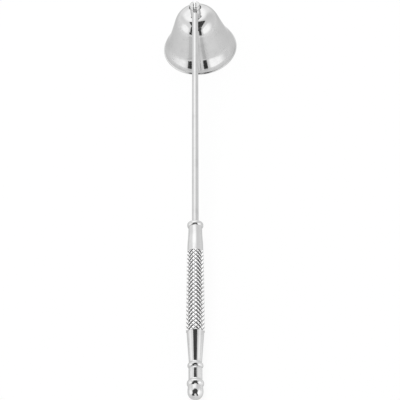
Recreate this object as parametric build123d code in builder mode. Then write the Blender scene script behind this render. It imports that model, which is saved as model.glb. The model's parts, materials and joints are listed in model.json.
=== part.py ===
"""Candle snuffer: a bell that swings in a clevis at the tip of a long rod with a knurled, turned handle.

Millimetres. +Z is up, the bell stands on its mouth at z = 0, the handle runs towards -Y, and the origin is
under the middle of the whole length. The end knob rests on the same surface as the bell.
"""
from build123d import *
from math import asin, cos, pi, radians, sin
import os

# Bell
mouth_radius = 19.0
bell_height = 25.7
bell_wall = 0.8
lip_height = 0.9
lip_proud = 0.35
skirt_radius = 16.4
skirt_height = 5.7
waist_radius = 11.6
waist_height = 18.4
rim_lean = 12.0
skirt_lean = 28.5
waist_lean = 18.0
skirt_handle_share = 0.34
dome_rise_share = 0.63
dome_crown_share = 0.60

# Clevis post on the crown of the bell
post_radius = 2.65
crown_margin = 0.35
pivot_rise = 3.7
ear_rise = 2.0
ear_round = 0.5
slot_width = 1.6
slot_depth = 3.3
ear_flat = 0.2
stud_radius = 1.5
stud_tip = 0.6
stud_clearance = 0.1

# Nut and washer inside the bell
nut_across_flats = 5.5
nut_height = 2.4
nut_chamfer = 0.3
washer_radius = 2.9
washer_thickness = 0.5
thread_clearance = 0.02

# Pivot rivet
rivet_radius = 0.75
rivet_head_radius = 1.05
rivet_head_height = 0.65
rivet_seat_clearance = 0.02
running_clearance = 0.05

# Rod
rod_radius = 1.5
tongue_side_clearance = 0.44
tongue_length = 3.9
tongue_tail = 2.9
tongue_tail_round = 1.0
tongue_full_length = 1.2
tongue_waist = 0.6
shoulder_chamfer = 0.5
rod_length = 122.3
tail_radius = 1.2
tail_engagement = 3.6
tail_relief = 0.5
slip_clearance = 0.02

# Turned handle, in order from the rod to the end
ferrule_radius = 3.62
ferrule_length = 2.5
ferrule_round = 1.05
neck_radius = 3.07
neck_top_radius = 3.55
neck_length = 12.25
neck_ease_share = 0.5
knurl_rows = 20
knurl_starts = 12
knurl_pitch = 1.91
knurl_depth = 0.27
knurl_start_radius = 3.72
knurl_end_radius = 4.08
knurl_swell = 0.05
taper_radius = 3.82
taper_end_radius = 2.8
taper_length = 14.1
ring_radius = 3.38
ring_length = 2.1
ring_round = 0.9
sleeve_radius = 2.93
sleeve_length = 5.5
cove_length = 0.9
cove_rise = 0.18
bead_radius = 3.64
bead_length = 2.65
bead_round = 1.2
knob_radius = 3.36
knob_collar_radius = 3.15
knob_collar_length = 2.4

overrun = 1.0

# Places along the rod, measured from the pivot
ferrule_start = rod_length
grip_start = ferrule_start + ferrule_length
knurl_start = grip_start + neck_length
knurl_length = knurl_rows * knurl_pitch
taper_start = knurl_start + knurl_length
ring_start = taper_start + taper_length
sleeve_start = ring_start + ring_length
bead_start = sleeve_start + sleeve_length
knob_start = bead_start + bead_length
knob_centre = knob_start + knob_collar_length
bore_radius = rod_radius + slip_clearance
tail_bore_radius = tail_radius + slip_clearance
tail_start = bead_start
tail_end = knob_start + tail_engagement

# Corners of the bell's outer section, as distance from its axis and height
crown_radius = post_radius + crown_margin
stud_hole_radius = stud_radius + stud_clearance
rim_radius = mouth_radius - lip_proud
rim_point = Vector(rim_radius, 0)
skirt_point = Vector(skirt_radius, skirt_height)
waist_point = Vector(waist_radius, waist_height)
crown_point = Vector(crown_radius, bell_height)

# The rod dips from the pivot until the ball of the end knob lies on the surface under the bell
pivot_height = bell_height + pivot_rise
dip_sine = (pivot_height - knob_radius) / knob_centre
dip_cosine = cos(asin(dip_sine))
overall_length = mouth_radius + knob_centre * dip_cosine + knob_radius
bell_y = overall_length / 2 - mouth_radius

bell_axis = Axis((0, bell_y, 0), (0, 0, 1))
bell_section = Plane(origin=(0, bell_y, 0), x_dir=(1, 0, 0), z_dir=(0, -1, 0))
bell_floor = Plane(origin=(0, bell_y, 0), x_dir=(1, 0, 0), z_dir=(0, 0, 1))
pivot = Vector(0, bell_y, pivot_height)
pivot_side = Plane(origin=pivot, x_dir=(0, 1, 0), z_dir=(1, 0, 0))
rivet_section = Plane(origin=pivot, x_dir=(1, 0, 0), z_dir=(0, 0, 1))
rivet_axis = Axis(pivot, (1, 0, 0))
rod_direction = Vector(0, -dip_cosine, -dip_sine)
rod_up = Vector(0, -dip_sine, dip_cosine)
rod_axis = Axis(pivot, rod_direction)
# In this plane x is the distance from the rod's axis and y the distance from the pivot
rod_section = Plane(origin=pivot, x_dir=rod_up, z_dir=(1, 0, 0))
rod_cross = Plane(origin=pivot, x_dir=(1, 0, 0), z_dir=rod_direction)


def leaning(length, lean):
    """A step of the given length that leans inwards from the vertical by an angle in degrees."""
    return Vector(-length * sin(radians(lean)), length * cos(radians(lean)))


def inward(depth, lean):
    """A step square to the leaning direction, towards the bell's axis."""
    return Vector(-depth * cos(radians(lean)), -depth * sin(radians(lean)))


def wall_curve(depth):
    """Draw the bell's wall at a depth under its outer face and return where it starts, below the mouth."""
    rim = rim_point + inward(depth, rim_lean)
    skirt = skirt_point + inward(depth, skirt_lean)
    waist = waist_point + inward(depth, waist_lean)
    crown = crown_point - Vector(0, depth)
    lower = skirt_handle_share * (skirt - rim).length
    upper = skirt_handle_share * (waist - skirt).length
    rise = leaning(dome_rise_share * (crown.Y - waist.Y), waist_lean)
    run = Vector(dome_crown_share * (waist.X - crown.X), 0)
    below = rim - leaning(overrun, rim_lean)
    Line(below, rim)
    Bezier(rim, rim + leaning(lower, rim_lean), skirt - leaning(lower, skirt_lean), skirt)
    Bezier(skirt, skirt + leaning(upper, skirt_lean), waist - leaning(upper, waist_lean), waist)
    Bezier(waist, waist + rise, crown + run, crown)
    Line(crown, (stud_hole_radius, crown.Y))
    return below


def turned_ring(inner, outer, start, length):
    """A rectangle of a turned section, from one radius to another and from a start along the rod."""
    with Locations(((inner + outer) / 2, start + length / 2)):
        Rectangle(outer - inner, length)


def knurl_peak_radius(share):
    """Radius over the diamonds' tips at a share of the knurl's length."""
    straight = knurl_start_radius + (knurl_end_radius - knurl_start_radius) * share
    return straight + 4 * knurl_swell * share * (1 - share)


def knurl_solid():
    """A closed body of crossing grooves: tips and groove crossings alternate round and along it."""
    columns = 2 * knurl_starts
    rings = 2 * knurl_rows + 1
    grid = []
    for ring in range(rings):
        share = ring / (rings - 1)
        points = []
        for column in range(columns):
            tip = (ring + column) % 2 == 0
            radius = knurl_peak_radius(share) - (0 if tip else knurl_depth)
            angle = 2 * pi * column / columns
            local = Vector(radius * cos(angle), radius * sin(angle), knurl_start + share * knurl_length)
            points.append(rod_cross.from_local_coords(local))
        grid.append(points)
    faces = [Face(Wire.make_polygon(grid[0])), Face(Wire.make_polygon(grid[-1]))]
    for ring in range(rings - 1):
        for column in range(columns):
            after = (column + 1) % columns
            corner = grid[ring][column]
            across = grid[ring + 1][after]
            side = grid[ring][after]
            below = grid[ring + 1][column]
            if (ring + column) % 2 == 0:
                halves = ((corner, side, below), (across, below, side))
            else:
                halves = ((side, across, corner), (below, corner, across))
            for half in halves:
                faces.append(Face(Wire.make_polygon(half)))
    return Solid(Shell(faces))


def finish(builder, name):
    """Label a sub-part and write it as its own file."""
    builder.part.label = name
    export_step(builder.part, f"parts/{name}.step")


os.makedirs("parts", exist_ok=True)

# Bell: one spun wall from the mouth over the waist to a flat crown, with a rolled lip
with BuildPart() as bell:
    with BuildSketch(bell_section) as wall_sketch:
        with BuildLine() as wall_line:
            outer_below = wall_curve(0)
            inner_below = wall_curve(bell_wall)
            Line(outer_below, inner_below)
            Line((stud_hole_radius, bell_height), (stud_hole_radius, bell_height - bell_wall))
        make_face()
    revolve(axis=bell_axis)
    with BuildSketch(bell_section) as lip_sketch:
        lip_inner = rim_radius - bell_wall / 2
        with Locations(((lip_inner + mouth_radius) / 2, lip_height / 2)):
            Rectangle(mouth_radius - lip_inner, lip_height)
        fillet(lip_sketch.vertices().group_by(Axis.X)[-1], lip_proud)
    revolve(axis=bell_axis)
    split(bisect_by=bell_floor, keep=Keep.TOP)
finish(bell, "bell")

# Clevis post: a round post with flats, a slot for the rod's tongue and a threaded stud below
post_top = pivot_height + ear_rise
slot_floor = pivot_height - slot_depth
ear_half_width = post_radius - ear_flat
stud_length = bell_wall + washer_thickness + nut_height + stud_tip
ear_height = post_top - slot_floor
with BuildPart() as bell_post:
    with BuildSketch(bell_floor.offset(bell_height)) as post_sketch:
        Circle(post_radius)
    extrude(amount=post_top - bell_height)
    fillet(bell_post.edges().group_by(Axis.Z)[-1], ear_round)
    with BuildSketch(bell_floor.offset(bell_height)) as stud_sketch:
        Circle(stud_radius)
    extrude(amount=-stud_length)
    with BuildSketch(bell_floor.offset(slot_floor)) as slot_sketch:
        Rectangle(slot_width, 2 * (post_radius + overrun))
        for side in (-1, 1):
            with Locations((side * (ear_half_width + overrun / 2), 0)):
                Rectangle(overrun, 2 * (post_radius + overrun))
    extrude(amount=ear_height + overrun, mode=Mode.SUBTRACT)
    with BuildSketch(pivot_side) as pin_hole_sketch:
        Circle(rivet_radius + rivet_seat_clearance)
    extrude(amount=post_radius + overrun, both=True, mode=Mode.SUBTRACT)
finish(bell_post, "bell_post")

# Washer and hexagon nut that hold the post from inside the bell
washer_top = bell_height - bell_wall
nut_top = washer_top - washer_thickness
with BuildPart() as bell_washer:
    with BuildSketch(bell_floor.offset(washer_top)) as washer_sketch:
        Circle(washer_radius)
        Circle(stud_hole_radius, mode=Mode.SUBTRACT)
    extrude(amount=-washer_thickness)
finish(bell_washer, "bell_washer")

with BuildPart() as bell_nut:
    with BuildSketch(bell_floor.offset(nut_top)) as nut_sketch:
        RegularPolygon(nut_across_flats / 2, side_count=6, major_radius=False)
        Circle(stud_radius + thread_clearance, mode=Mode.SUBTRACT)
    extrude(amount=-nut_height)
    chamfer(bell_nut.edges().filter_by(GeomType.LINE).group_by(Axis.Z)[0], nut_chamfer)
finish(bell_nut, "bell_nut")

# Rivet: a shank through both ears, with a domed head at each end
head_seat = ear_half_width
head_end = ear_half_width + rivet_head_height
with BuildPart() as pivot_rivet:
    with BuildSketch(rivet_section) as rivet_sketch:
        with BuildLine() as rivet_line:
            Line((-head_end, 0), (head_end, 0))
            TangentArc((head_end, 0), (head_seat, rivet_head_radius), tangent=(0, 1))
            Line((head_seat, rivet_head_radius), (head_seat, rivet_radius))
            Line((head_seat, rivet_radius), (-head_seat, rivet_radius))
            Line((-head_seat, rivet_radius), (-head_seat, rivet_head_radius))
            TangentArc((-head_end, 0), (-head_seat, rivet_head_radius), tangent=(0, 1))
        make_face()
    revolve(axis=rivet_axis)
finish(pivot_rivet, "pivot_rivet")

# Rod: a flat tongue on the rivet, the round rod, and a thinner threaded tail in the end knob
tongue_thickness = slot_width - 2 * tongue_side_clearance
with BuildPart() as rod:
    with BuildSketch(rod_cross.offset(tongue_length)) as rod_sketch:
        Circle(rod_radius)
    extrude(amount=tail_start - tongue_length)
    chamfer(rod.faces().sort_by(rod_axis)[0].edges(), shoulder_chamfer)
    with BuildSketch(rod_cross.offset(tail_start)) as tail_sketch:
        Circle(tail_radius)
    extrude(amount=tail_end - tail_start)
    with BuildSketch(rod_section) as tongue_sketch:
        tongue_reach = tongue_length + shoulder_chamfer
        with BuildLine() as tongue_line:
            Polyline(
                (-rod_radius, -tongue_tail),
                (rod_radius, -tongue_tail),
                (rod_radius, tongue_full_length),
                (tongue_waist, tongue_length),
                (tongue_waist, tongue_reach),
                (-tongue_waist, tongue_reach),
                (-tongue_waist, tongue_length),
                (-rod_radius, tongue_full_length),
                close=True,
            )
        make_face()
        fillet(tongue_sketch.vertices().group_by(Axis.Y)[0], tongue_tail_round)
        Circle(rivet_radius + running_clearance, mode=Mode.SUBTRACT)
    extrude(amount=tongue_thickness / 2, both=True)
finish(rod, "rod")

# Ferrule: a rounded collar where the rod enters the handle
with BuildPart() as ferrule:
    with BuildSketch(rod_section) as ferrule_sketch:
        turned_ring(bore_radius, ferrule_radius, ferrule_start, ferrule_length)
        fillet(ferrule_sketch.vertices().group_by(Axis.X)[-1], ferrule_round)
    revolve(axis=rod_axis)
finish(ferrule, "ferrule")

# Grip: a swelling neck, the diamond knurl and a long taper, bored for the rod
with BuildPart() as grip:
    with BuildSketch(rod_section) as neck_sketch:
        with BuildLine() as neck_line:
            Line((0, grip_start), (neck_radius, grip_start))
            Bezier(
                (neck_radius, grip_start),
                (neck_radius, grip_start + neck_ease_share * neck_length),
                (neck_top_radius, knurl_start - neck_ease_share * neck_length),
                (neck_top_radius, knurl_start),
            )
            Line((neck_top_radius, knurl_start), (0, knurl_start))
            Line((0, knurl_start), (0, grip_start))
        make_face()
    revolve(axis=rod_axis)
    add(knurl_solid())
    with BuildSketch(rod_section) as taper_sketch:
        with BuildLine() as taper_line:
            Line((0, taper_start), (taper_radius, taper_start))
            Line((taper_radius, taper_start), (taper_end_radius, ring_start - cove_length))
            Bezier(
                (taper_end_radius, ring_start - cove_length),
                (taper_end_radius, ring_start - cove_length / 2),
                (taper_end_radius + cove_rise, ring_start),
            )
            Line((taper_end_radius + cove_rise, ring_start), (0, ring_start))
            Line((0, ring_start), (0, taper_start))
        make_face()
    revolve(axis=rod_axis)
    with BuildSketch(rod_cross.offset(grip_start - overrun)) as bore_sketch:
        Circle(bore_radius)
    extrude(amount=ring_start - grip_start + 2 * overrun, mode=Mode.SUBTRACT)
finish(grip, "grip")

# Ring, sleeve and bead: the turned pieces between the grip and the end knob
with BuildPart() as grip_ring:
    with BuildSketch(rod_section) as ring_sketch:
        turned_ring(bore_radius, ring_radius, ring_start, ring_length)
        fillet(ring_sketch.vertices().group_by(Axis.X)[-1], ring_round)
    revolve(axis=rod_axis)
finish(grip_ring, "grip_ring")

with BuildPart() as waist_sleeve:
    with BuildSketch(rod_section) as sleeve_sketch:
        flare_radius = sleeve_radius + cove_rise
        with BuildLine() as sleeve_line:
            Line((bore_radius, sleeve_start), (flare_radius, sleeve_start))
            Bezier(
                (flare_radius, sleeve_start),
                (sleeve_radius, sleeve_start + cove_length / 2),
                (sleeve_radius, sleeve_start + cove_length),
            )
            Line((sleeve_radius, sleeve_start + cove_length), (sleeve_radius, bead_start - cove_length))
            Bezier(
                (sleeve_radius, bead_start - cove_length),
                (sleeve_radius, bead_start - cove_length / 2),
                (flare_radius, bead_start),
            )
            Line((flare_radius, bead_start), (bore_radius, bead_start))
            Line((bore_radius, bead_start), (bore_radius, sleeve_start))
        make_face()
    revolve(axis=rod_axis)
finish(waist_sleeve, "waist_sleeve")

with BuildPart() as end_bead:
    with BuildSketch(rod_section) as bead_sketch:
        turned_ring(tail_bore_radius, bead_radius, bead_start, bead_length)
        fillet(bead_sketch.vertices().group_by(Axis.X)[-1], bead_round)
    revolve(axis=rod_axis)
finish(end_bead, "end_bead")

# End knob: a ball on a swelling collar, screwed onto the rod's tail
tail_hole_end = tail_end + tail_relief
with BuildPart() as end_knob:
    with BuildSketch(rod_section) as knob_sketch:
        with BuildLine() as knob_line:
            Line((0, knob_start), (knob_collar_radius, knob_start))
            Bezier(
                (knob_collar_radius, knob_start),
                (knob_radius, knob_centre - knob_collar_length / 2),
                (knob_radius, knob_centre),
            )
            CenterArc((0, knob_centre), knob_radius, 0, 90)
            Line((0, knob_centre + knob_radius), (0, knob_start))
        make_face()
    revolve(axis=rod_axis)
    with BuildSketch(rod_cross.offset(knob_start - overrun)) as tail_hole_sketch:
        Circle(tail_bore_radius)
    extrude(amount=tail_hole_end - knob_start + overrun, mode=Mode.SUBTRACT)
finish(end_knob, "end_knob")
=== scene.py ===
"""Candle snuffer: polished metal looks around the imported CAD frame.

Laid out as an add-on and run as a script. Every length is in metres, in the frame of the CAD model: the bell
stands on its mouth at z = 0, and the rod and the turned handle run towards -Y, a little downwards.
"""
import json
import math

import bpy
from mathutils import Matrix, Quaternion, Vector


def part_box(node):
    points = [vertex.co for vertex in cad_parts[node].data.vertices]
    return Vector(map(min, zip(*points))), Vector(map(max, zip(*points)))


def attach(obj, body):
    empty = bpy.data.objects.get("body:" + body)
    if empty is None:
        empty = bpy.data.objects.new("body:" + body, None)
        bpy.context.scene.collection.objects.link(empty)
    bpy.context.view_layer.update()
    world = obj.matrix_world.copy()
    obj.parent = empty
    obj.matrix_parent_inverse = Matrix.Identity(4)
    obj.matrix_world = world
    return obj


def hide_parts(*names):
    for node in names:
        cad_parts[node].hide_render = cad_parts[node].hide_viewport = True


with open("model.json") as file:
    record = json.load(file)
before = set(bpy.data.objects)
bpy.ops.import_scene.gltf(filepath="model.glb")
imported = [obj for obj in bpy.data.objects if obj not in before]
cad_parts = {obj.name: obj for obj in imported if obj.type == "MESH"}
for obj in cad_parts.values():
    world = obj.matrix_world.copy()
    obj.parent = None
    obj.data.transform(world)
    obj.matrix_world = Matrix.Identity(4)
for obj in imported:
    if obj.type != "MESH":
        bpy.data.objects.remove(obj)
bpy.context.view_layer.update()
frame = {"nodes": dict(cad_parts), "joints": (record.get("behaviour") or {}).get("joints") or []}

bl_info = {
    "name": "Candle Snuffer",
    "version": (1, 0, 0),
    "blender": (4, 5, 0),
    "location": "View3D > Sidebar > Snuffer",
    "description": "Builds a polished candle snuffer with a swinging bell and a knurled handle",
    "category": "Add Mesh",
}

MM = 0.001
WHITE = (1, 1, 1, 1)

# Where the hinge's parts, its painted shade and its painted light start and end, and how softly
SLOT_HALF_WIDTH = 0.8 * MM
SLOT_EDGE = 0.02 * MM
SLOT_DEPTH = 3.3 * MM
FLOOR_EDGE = 0.05 * MM
# In front of this, the slot and the tongue's sides get no painted shade, and the slot's walls get painted light.
UNSHADED_FRONT = 0.6 * MM
MASK_EDGE = 0.1 * MM
TONGUE_REACH = 4.2 * MM
FLAT_FACING = 0.95
HEAD_START = 2.0 * MM
SLOPE_START = 2.1 * MM
# Strength of the painted shade on the tongue's front slope.
SLOPE_SHADE = 0.6
# Slope of the post's side, as its normal's rise, up to which it gets its painted highlight.
SIDE_SLOPE = 0.2

# Finishes
FILED_ROUGHNESS = 0.5
FILED_METALLIC = 0.2
# Lighter tone of the filed parts, painted light.
FILED_LIGHT_TONE = (0.85, 0.85, 0.85)
DULL_ROUGHNESS = 0.7
HAIR_ROUGHNESS = 0.12
HAIR_DEPTH = 0.3

# Floor and tent
PAPER_ROUGHNESS = 0.9
SHEEN_INDEX = 1.45
SHEEN_ROUGHNESS = 0.08
POOL_MIDDLE = (0.06, -0.115)
POOL_HALF_SIZES = (0.05, 0.04)
POOL_SOFTNESS = 0.25
POOL_POWER = 4
POOL_BRIGHTNESS = 1.2
TENT_LEFT = 1.16
TENT_RIGHT = 0.98

# Places taken from the frame
hinge = frame["joints"][0]
pivot = Vector(hinge["pos_m"])
_, bell_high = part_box("bell")
knob_low, knob_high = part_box("end_knob")
bell_foot = Vector((0, pivot.y, 0))
knob_ball_radius = (knob_high.x - knob_low.x) / 2
knob_ball = Vector((0, knob_low.y + knob_ball_radius, knob_low.z + knob_ball_radius))
rod_direction = (knob_ball - pivot).normalized()
rod_up = rod_direction.cross(Vector((1, 0, 0)))


def node_radius(node):
    """Half the width of a CAD node, which is the radius of a turned one."""
    low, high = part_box(node)
    return (high.x - low.x) / 2


def length(name, description, default):
    """A length that a user may change."""
    return bpy.props.FloatProperty(
        name=name, description=description, default=default, min=0, precision=5, unit="LENGTH", subtype="DISTANCE"
    )


def angle(name, description, degrees):
    """An angle that a user may change."""
    return bpy.props.FloatProperty(
        name=name, description=description, default=math.radians(degrees), unit="ROTATION", subtype="ANGLE"
    )


def amount(name, description, default, top=1.0):
    """A plain number that a user may change."""
    return bpy.props.FloatProperty(name=name, description=description, default=default, min=0, max=top, precision=4)


def count(name, description, default):
    """A whole number that a user may change."""
    return bpy.props.IntProperty(name=name, description=description, default=default, min=1)


def colour(name, description, default):
    """A linear colour that a user may change."""
    return bpy.props.FloatVectorProperty(
        name=name, description=description, default=default, size=3, min=0, max=1, subtype="COLOR"
    )


def place(name, description, default):
    """A point in the frame that a user may change."""
    return bpy.props.FloatVectorProperty(
        name=name, description=description, default=default, size=3, precision=5, unit="LENGTH", subtype="XYZ"
    )


class SNUFFER_PG_bell(bpy.types.PropertyGroup):
    """Sizes of the spun bell."""

    mouth_radius: length("Mouth radius", "Radius over the rolled lip", bell_high.x)
    height: length("Height", "Height of the bell's flat crown", bell_high.z)
    wall: length("Wall", "Thickness of the spun wall", 0.8 * MM)
    lip_height: length("Lip height", "Height of the rolled lip", 0.9 * MM)
    lip_proud: length("Lip proud", "How far the lip stands out from the skirt", 0.35 * MM)
    skirt_radius: length("Skirt radius", "Radius at the bend where the skirt starts to flare", 15.75 * MM)
    skirt_height: length("Skirt height", "Height of that bend", 6.6 * MM)
    bend_reach: length("Bend reach", "How far a bend of the skirt reaches along the wall", 1.1 * MM)
    waist_radius: length("Waist radius", "Radius where the skirt meets the dome", 11.6 * MM)
    waist_height: length("Waist height", "Height where the skirt meets the dome", 18.4 * MM)
    crown_radius: length("Crown radius", "Radius of the flat under the post", 3.0 * MM)
    hole_radius: length("Stud hole", "Radius of the hole for the post's stud", 1.6 * MM)
    rim_lean: angle("Rim lean", "Lean of the wall at the lip", 10.5)
    skirt_lean: angle("Skirt lean", "Lean of the flared wall", 31.0)
    bend_lean: angle("Bend lean", "Lean of the wall above the flare", 21.0)
    waist_lean: angle("Waist lean", "Lean of the wall at the waist", 18.0)
    skirt_pull: amount("Skirt pull", "How far the skirt's upper curve keeps its lean", 0.3)
    dome_rise: amount("Dome rise", "How far the dome keeps the waist's lean", 0.65)
    dome_crown: amount("Dome crown", "How far the dome keeps level at the crown", 0.60)
    segments: count("Segments", "Faces round the bell", 192)


class SNUFFER_PG_handle(bpy.types.PropertyGroup):
    """Sizes of the turned handle, in order from the rod to the end."""

    rod_length: length("Rod length", "From the pivot to the ferrule", 122.3 * MM)
    bore: length("Bore", "Radius of the bore that the rod passes", 1.52 * MM)
    tail_bore: length("Tail bore", "Radius of the bore for the rod's thin tail", 1.22 * MM)
    tail_depth: length("Tail depth", "Depth of the hole in the end knob", 4.1 * MM)
    ferrule_radius: length("Ferrule radius", "Radius of the collar at the rod", node_radius("ferrule"))
    ferrule_length: length("Ferrule length", "Length of the collar at the rod", 2.5 * MM)
    ferrule_round: length("Ferrule rounding", "Rounding of the collar's edges", 1.05 * MM)
    neck_radius: length("Neck radius", "Radius of the neck at the ferrule", 3.07 * MM)
    neck_top_radius: length("Neck top radius", "Radius of the neck at the knurl", 3.55 * MM)
    neck_length: length("Neck length", "Length of the smooth neck", 12.25 * MM)
    neck_ease: amount("Neck ease", "Share of the neck that eases in and out", 0.5)
    knurl_rows: count("Knurl rows", "Diamonds along the barrel", 20)
    knurl_starts: count("Knurl starts", "Diamonds round the barrel", 12)
    knurl_pitch: length("Knurl pitch", "Length of one diamond", 1.91 * MM)
    knurl_depth: length("Knurl depth", "Depth of the crossing grooves", 0.34 * MM)
    knurl_start_radius: length("Knurl start radius", "Radius over the tips at the neck", 3.72 * MM)
    knurl_end_radius: length("Knurl end radius", "Radius over the tips at the taper", 4.08 * MM)
    knurl_swell: length("Knurl swell", "How far the barrel swells in the middle", 0.05 * MM)
    knurl_flat: amount("Knurl flat", "Share of a diamond's width left flat between the grooves", 0.5)
    taper_radius: length("Taper radius", "Radius of the taper at the knurl", 3.82 * MM)
    taper_end_radius: length("Taper end radius", "Radius of the taper at the ring", 2.8 * MM)
    taper_length: length("Taper length", "Length of the smooth taper", 14.1 * MM)
    ring_radius: length("Ring radius", "Radius of the first bead", node_radius("grip_ring"))
    ring_length: length("Ring length", "Length of the first bead", 2.1 * MM)
    ring_round: length("Ring rounding", "Rounding of the first bead's edges", 1.05 * MM)
    sleeve_radius: length("Sleeve radius", "Radius of the stretch between the beads", 2.93 * MM)
    sleeve_length: length("Sleeve length", "Length of the stretch between the beads", 5.5 * MM)
    cove_length: length("Cove length", "Length of the small coves beside the beads", 0.5 * MM)
    cove_rise: length("Cove rise", "How far the small coves rise towards the beads", 0.10 * MM)
    drop_length: length("Sleeve drop length", "Length over which the sleeve falls off beside the ring", 0.7 * MM)
    drop: length("Sleeve drop", "How far the sleeve falls off beside the ring", 0.12 * MM)
    bead_radius: length("Bead radius", "Radius of the second bead", node_radius("end_bead"))
    bead_length: length("Bead length", "Length of the second bead", 2.65 * MM)
    bead_round: length("Bead rounding", "Rounding of the second bead's edges", 1.5 * MM)
    knob_radius: length("Knob radius", "Radius of the end knob's ball", knob_ball_radius)
    collar_radius: length("Collar radius", "Radius of the knob where it meets the bead", 3.15 * MM)
    collar_length: length("Collar length", "From the bead to the middle of the ball", 2.4 * MM)
    edge: length("Edge break", "Chamfer on the turned pieces' sharp edges", 0.06 * MM)
    segments: count("Segments", "Faces round each turned piece", 128)


class SNUFFER_PG_finish(bpy.types.PropertyGroup):
    """Colours and polish of the metals."""

    chrome: colour("Chrome", "Plated metal where it is clean", (0.62, 0.62, 0.62))
    handle_chrome: colour("Handle chrome", "Clean plating on the handle", (0.66, 0.66, 0.66))
    handle_shade: colour("Handle chrome shade", "Dull plating on the handle", (0.59, 0.59, 0.59))
    # A painted highlight on the knurl's tips.
    ridge_highlight: colour("Knurl ridge", "Plating on the knurl's tips, rubbed bright", (0.98, 0.98, 0.98))
    chrome_shade: colour("Chrome shade", "Plated metal where it is slightly dull", (0.55, 0.55, 0.55))
    # Painted shade at the bottom of the knurl's grooves.
    groove: colour("Groove", "Metal at the bottom of the knurl", (0.03, 0.03, 0.03))
    # Painted shade inside the hinge's slot and on the rod's tongue.
    slot: colour("Slot", "Metal inside the hinge's slot, where polish never reaches", (0.05, 0.05, 0.05))
    # The post's plating is darker than the other chrome: painted shade that dims the highlight on its ear tops.
    post: colour("Post", "Clean plating on the clevis post", (0.54, 0.54, 0.54))
    post_shade: colour("Post shade", "Dull plating on the clevis post", (0.48, 0.48, 0.48))
    # A painted highlight on the post's upright turned side.
    post_side_highlight: colour("Post side", "Plating on the clevis post's turned side, the brightest part", (0.78, 0.78, 0.78))
    shank: colour("Rivet shank", "The rivet between the ears", (0.55, 0.55, 0.55))
    steel: colour("Steel", "Washer and nut where they are clean", (0.22, 0.22, 0.22))
    steel_shade: colour("Steel shade", "Washer and nut where they are dull, and the rivet's heads", (0.15, 0.15, 0.15))
    edge_tint: colour("Edge tint", "Metal seen at a shallow angle", (0.82, 0.82, 0.82))
    polish: amount("Polish", "Roughness where the plating is clean", 0.06)
    haze: amount("Haze", "Roughness where fingers have dulled the plating", 0.11)
    steel_polish: amount("Steel polish", "Roughness of the clean steel", 0.16)
    steel_haze: amount("Steel haze", "Roughness of the dull steel", 0.30)


class SNUFFER_PG_stage(bpy.types.PropertyGroup):
    """Floor, light and camera."""

    floor_size: length("Floor size", "Width of the floor", 6.0)
    floor: colour("Floor", "Colour of the floor", (0.93, 0.93, 0.93))
    floor_glow: amount("Floor glow", "Share of the floor that is plain white to the camera", 0.90)
    # Beside the snuffer the metal shows the floor darker than far away: a painted shadow.
    floor_contact_shadow: amount("Floor in metal", "Brightness of the floor beside the snuffer as the metal shows it", 0.88)
    floor_horizon: amount("Far floor in metal", "Brightness of the floor far away as the metal shows it", 1.0, 2.0)
    floor_near: length("Floor near", "Distance at which the floor starts to brighten", 0.025)
    floor_far: length("Floor far", "Distance at which the floor is brightest", 0.16)
    floor_sheen: amount("Floor sheen", "Share of a glossy table's glancing sheen that the metal shows", 0.5)
    tent: amount("Tent", "Brightness of the plain light tent", 0.95, 2.0)
    fill: amount("Fill", "Brightness of the tent on matt surfaces", 0.72, 2.0)
    lamp_power: amount("Lamp power", "Power of the overhead soft lamp in watts", 9.0, 100.0)
    lamp_size: length("Lamp size", "Width of the overhead soft lamp", 0.9)
    lamp_place: place("Lamp place", "Middle of the overhead soft lamp", (-0.2, 0.15, 1.4))
    camera_place: place("Camera place", "Where the camera stands", (0.042284, -0.325544, 0.433180))
    camera_aim: place("Camera aim", "Point in the middle of the picture", (0.0022331, -0.0178889, 0.0158737))
    camera_roll: angle("Camera roll", "Turn of the camera about its own line of sight", -8.5929)
    camera_lens: amount("Camera lens", "Focal length in millimetres on a 36 mm sensor", 102.95, 500.0)


# Turned sections: runs of points with normals, as distance from the axis and place along it

def line_run(start, end, steps=1):
    """A straight run of a section. Material lies to the left of the way it goes."""
    start, end = Vector(start), Vector(end)
    way = (end - start).normalized()
    normal = Vector((way.y, -way.x))
    return [(start.lerp(end, step / steps), normal) for step in range(steps + 1)]


def arc_run(middle, radius, first, last, steps):
    """A round run of a section between two angles in degrees, counted from the outward direction."""
    middle = Vector(middle)
    run = []
    turn = 1 if last > first else -1
    for step in range(steps + 1):
        bearing = math.radians(first + (last - first) * step / steps)
        outward = Vector((math.cos(bearing), math.sin(bearing)))
        run.append((middle + radius * outward, turn * outward))
    return run


def bezier_run(points, steps, first=0.0, last=1.0):
    """A Bezier run of a section, of any degree, from one share of the curve to another."""
    points = [Vector(point) for point in points]
    slopes = [after - before for before, after in zip(points, points[1:])]
    run = []
    for step in range(steps + 1):
        share = first + (last - first) * step / steps
        way = bezier_point(slopes, share).normalized()
        if last < first:
            way = -way
        run.append((bezier_point(points, share), Vector((way.y, -way.x))))
    return run


def bezier_point(points, share):
    """The point of a Bezier curve at a share of its length of parameter."""
    level = [Vector(point) for point in points]
    while len(level) > 1:
        level = [before.lerp(after, share) for before, after in zip(level, level[1:])]
    return level[0]


def rounded_ring(inner, outer, start, end, rounding, edge, first_foot, last_foot, steps=10):
    """The section of a bored ring with rounded outer edges, which rise from the neighbours' radii at its feet."""
    centre = outer - rounding
    first = math.asin((first_foot - centre) / rounding)
    last = math.asin((last_foot - centre) / rounding)
    rise_end = start + rounding * math.cos(first)
    fall_start = end - rounding * math.cos(last)
    return [
        line_run((inner + edge, start), (first_foot, start), 2),
        arc_run((centre, rise_end), rounding, math.degrees(first) - 90, 0, steps),
        line_run((outer, rise_end), (outer, fall_start), 2),
        arc_run((centre, fall_start), rounding, 0, 90 - math.degrees(last), steps),
        line_run((last_foot, end), (inner + edge, end), 2),
        line_run((inner + edge, end), (inner, end - edge)),
        line_run((inner, end - edge), (inner, start + edge), 2),
        line_run((inner, start + edge), (inner + edge, start)),
    ]


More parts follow.
